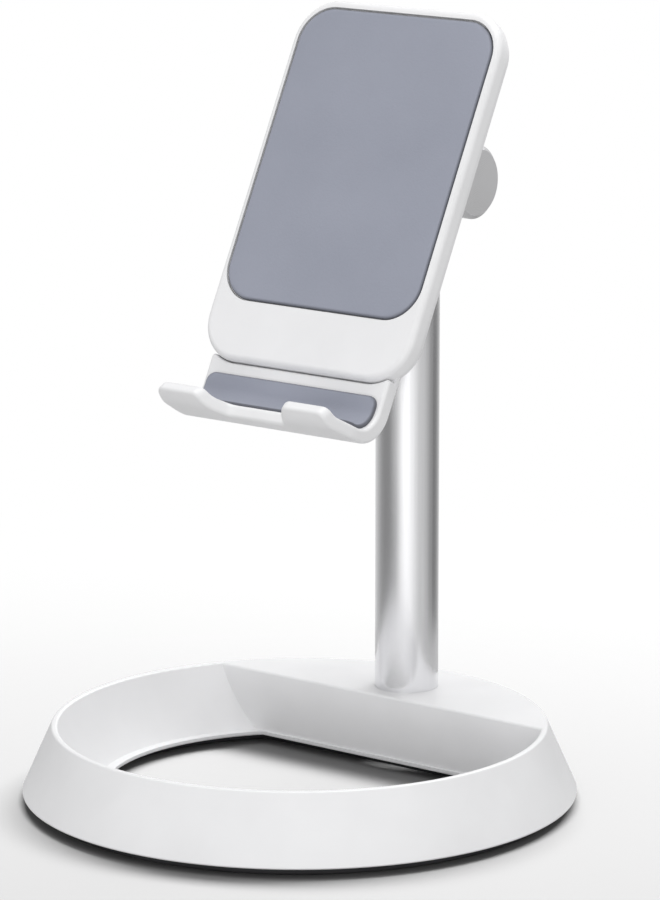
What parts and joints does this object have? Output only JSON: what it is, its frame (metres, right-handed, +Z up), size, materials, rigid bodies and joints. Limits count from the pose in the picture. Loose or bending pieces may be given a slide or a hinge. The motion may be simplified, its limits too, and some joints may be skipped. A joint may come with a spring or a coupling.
{
  "type": "phone stand",
  "caption": "Desk phone stand: a weighted ring base with a rear deck, a slim upright pole, and a tilting padded cradle with two front hooks and a cable notch.",
  "frame": {"origin": "centre of the round base, on the surface it stands on", "axes": "+Z up, +X to the stand's left-right axis (plane of symmetry at X = 0), the phone faces -Y"},
  "size_m": [0.1196, 0.1196, 0.1675],
  "materials": {
    "white_shell": "fine satin moulding",
    "grey_cover": "matt moulding",
    "zinc_steel": "zinc-plated sheet",
    "foot_rubber": "matt rubber",
    "screw_steel": "nickel-plated",
    "black_steel": "black oxide",
    "satin_aluminium": "satin, finely drawn",
    "cap_aluminium": "turned, light grey",
    "washer_nylon": "natural nylon",
    "pad_silicone": "soft matt silicone, blue grey"
  },
  "bodies": {
    "stand": {"base_shell": "white_shell", "base_bottom_cover": "grey_cover", "ballast_plate": "zinc_steel", "anti_slip_ring": "foot_rubber", "cover_screws": "screw_steel", "pole_tube": "satin_aluminium", "pole_bottom_plug": "screw_steel", "pole_bolt": "screw_steel", "pole_bolt_washer": "screw_steel", "pole_head": "satin_aluminium", "head_lock_screw": "black_steel"},
    "cradle": {"hinge_bracket": "satin_aluminium", "hinge_bolt": "screw_steel", "hinge_nut": "screw_steel", "friction_washer_left": "washer_nylon", "friction_washer_right": "washer_nylon", "disc_springs": "screw_steel", "hinge_cap_left": "cap_aluminium", "hinge_cap_right": "cap_aluminium", "cradle_back_shell": "white_shell", "cradle_front_plate": "white_shell", "back_pad": "pad_silicone", "shelf_pad": "pad_silicone", "bracket_screws": "screw_steel", "plate_screws": "screw_steel"}
  },
  "joints": [
    {"name": "cradle_tilt", "type": "hinge", "parent": "stand", "child": "cradle", "pos_m": [0, 0.0382, 0.1312], "axis": [-1, 0, 0], "range_deg": [-24, 50]}
  ]
}
